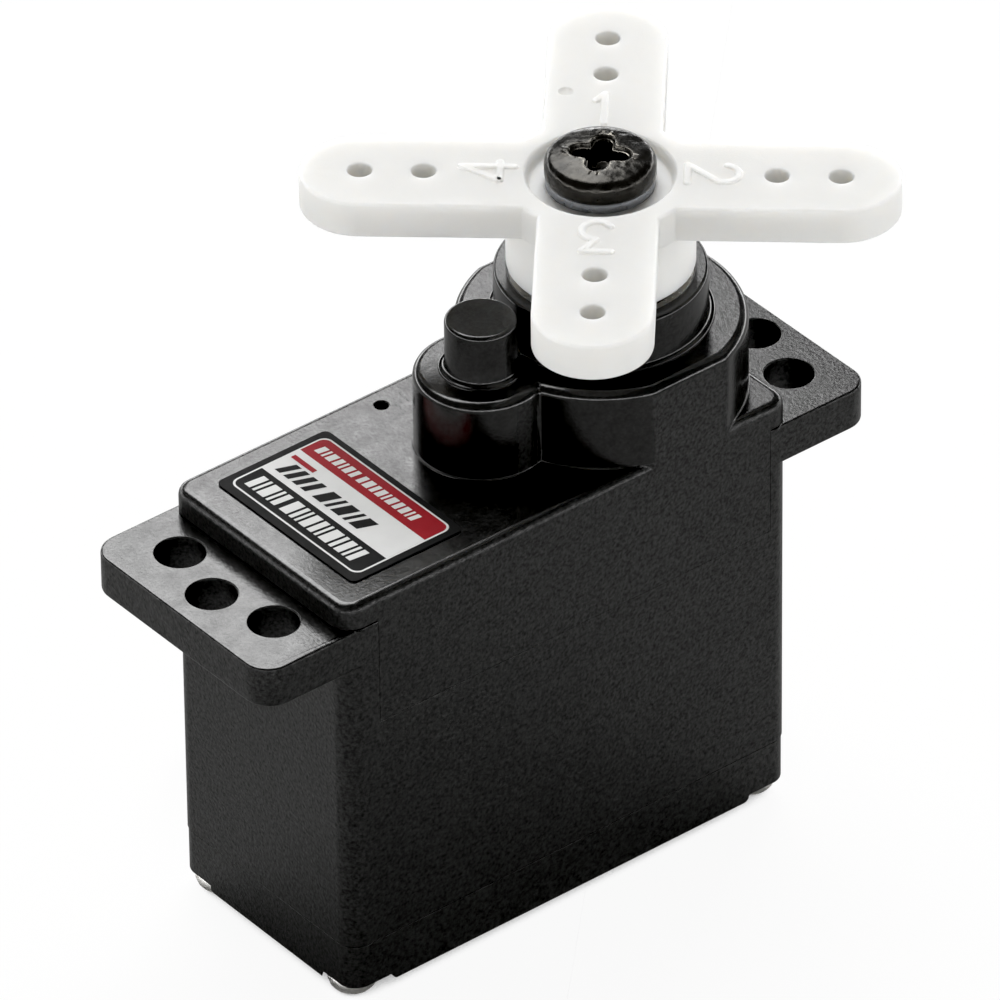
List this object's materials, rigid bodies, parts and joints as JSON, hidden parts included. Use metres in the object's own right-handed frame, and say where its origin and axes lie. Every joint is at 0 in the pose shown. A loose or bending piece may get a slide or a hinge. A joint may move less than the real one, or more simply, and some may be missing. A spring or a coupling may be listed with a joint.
{
  "type": "servo motor",
  "caption": "Micro rotary servo: black two-eared plastic case with a gear tower, a four-armed white horn on a splined output shaft, motor, gear train, position sensor, circuit board and lead.",
  "frame": {"origin": "where the output shaft's axis meets the flat underside of the bottom cover", "axes": "+Z along the output shaft towards the horn; +X along the case's length, from the motor end to the output shaft's end; +Y across the case, towards the side where the lead lies"},
  "size_m": [0.0323, 0.0232, 0.0321],
  "materials": {
    "black_plastic": "moulded black plastic, satin top faces and finely grained sides",
    "white_nylon": "moulded white nylon",
    "gear_nylon": "natural nylon",
    "gear_carbonite": "dark reinforced nylon",
    "black_oxide_steel": "black oxide",
    "zinc_steel": "bright zinc",
    "polished_steel": "ground and polished steel",
    "can_steel": "drawn steel",
    "brass": "turned or stamped brass",
    "copper": "copper",
    "ferrite": "sintered ferrite",
    "circuit_board": "green solder mask on glass-fibre board",
    "chip_epoxy": "moulded epoxy",
    "tantalum_case": "moulded capacitor case",
    "label_film": "printed film",
    "grommet_rubber": "black rubber and soft plastic",
    "wire_black": "black wire insulation",
    "wire_red": "red wire insulation",
    "wire_yellow": "yellow wire insulation",
    "phenolic": "phenolic board with a carbon track"
  },
  "bodies": {
    "case": {"bottom_cover": "black_plastic", "middle_case": "black_plastic", "top_case": "black_plastic", "case_screw_left_front": "zinc_steel", "case_screw_left_rear": "zinc_steel", "case_screw_right_front": "zinc_steel", "case_screw_right_rear": "zinc_steel", "label": "label_film", "gear_pin": "polished_steel", "bearing_outer_ring": "polished_steel", "motor_can": "can_steel", "motor_magnet_front": "ferrite", "motor_magnet_rear": "ferrite", "motor_end_bell": "chip_epoxy", "motor_brush_left": "copper", "motor_brush_right": "copper", "pot_housing": "can_steel", "pot_track": "phenolic", "circuit_board": "circuit_board", "controller_chip": "chip_epoxy", "driver_chip": "chip_epoxy", "capacitor": "tantalum_case", "crystal": "can_steel", "pot_wire_left": "wire_yellow", "pot_wire_middle": "wire_red", "pot_wire_right": "wire_black", "strain_relief": "grommet_rubber", "lead_wire_ground": "wire_black", "lead_wire_power": "wire_red", "lead_wire_signal": "wire_yellow", "plug_housing": "grommet_rubber", "plug_contact_ground": "brass", "plug_contact_power": "brass", "plug_contact_signal": "brass"},
    "rotor": {"motor_shaft": "polished_steel", "motor_pinion": "brass", "commutator": "copper", "armature_core": "can_steel", "armature_winding_1": "copper", "armature_winding_2": "copper", "armature_winding_3": "copper"},
    "first_gear": {"first_gear": "gear_nylon"},
    "second_gear": {"second_gear": "gear_nylon"},
    "third_gear": {"third_gear": "gear_carbonite"},
    "output": {"output_gear": "gear_carbonite", "bearing_inner_ring": "polished_steel", "pot_shaft": "brass", "pot_wiper": "brass", "horn": "white_nylon", "horn_screw": "black_oxide_steel"},
    "ball_cage": {"bearing_ball_cage": "polished_steel"}
  },
  "joints": [
    {"name": "motor_spin", "type": "hinge", "parent": "case", "child": "rotor", "pos_m": [-0.0119, 0, 0.0092], "axis": [0, 0, 1], "range_deg": [-6400, 6400]},
    {"name": "first_gear_spin", "type": "hinge", "parent": "case", "child": "first_gear", "pos_m": [-0.00635, 0, 0.0162], "axis": [0, 0, 1], "range_deg": [-1707, 1707]},
    {"name": "second_gear_spin", "type": "hinge", "parent": "case", "child": "second_gear", "pos_m": [0, 0, 0.0175], "axis": [0, 0, 1], "range_deg": [-640, 640]},
    {"name": "third_gear_spin", "type": "hinge", "parent": "case", "child": "third_gear", "pos_m": [-0.00635, 0, 0.0187], "axis": [0, 0, 1], "range_deg": [-240, 240]},
    {"name": "output_turn", "type": "hinge", "parent": "case", "child": "output", "pos_m": [0, 0, 0.0207], "axis": [0, 0, 1], "range_deg": [-90, 90]},
    {"name": "ball_cage_turn", "type": "hinge", "parent": "case", "child": "ball_cage", "pos_m": [0, 0, 0.02491], "axis": [0, 0, 1], "range_deg": [-40, 40]}
  ],
  "couplings": [
    {"joint": "motor_spin", "follows": "output_turn", "ratio": 71.111},
    {"joint": "first_gear_spin", "follows": "output_turn", "ratio": -18.963},
    {"joint": "second_gear_spin", "follows": "output_turn", "ratio": 7.1111},
    {"joint": "third_gear_spin", "follows": "output_turn", "ratio": -2.6667},
    {"joint": "ball_cage_turn", "follows": "output_turn", "ratio": 0.44444}
  ]
}
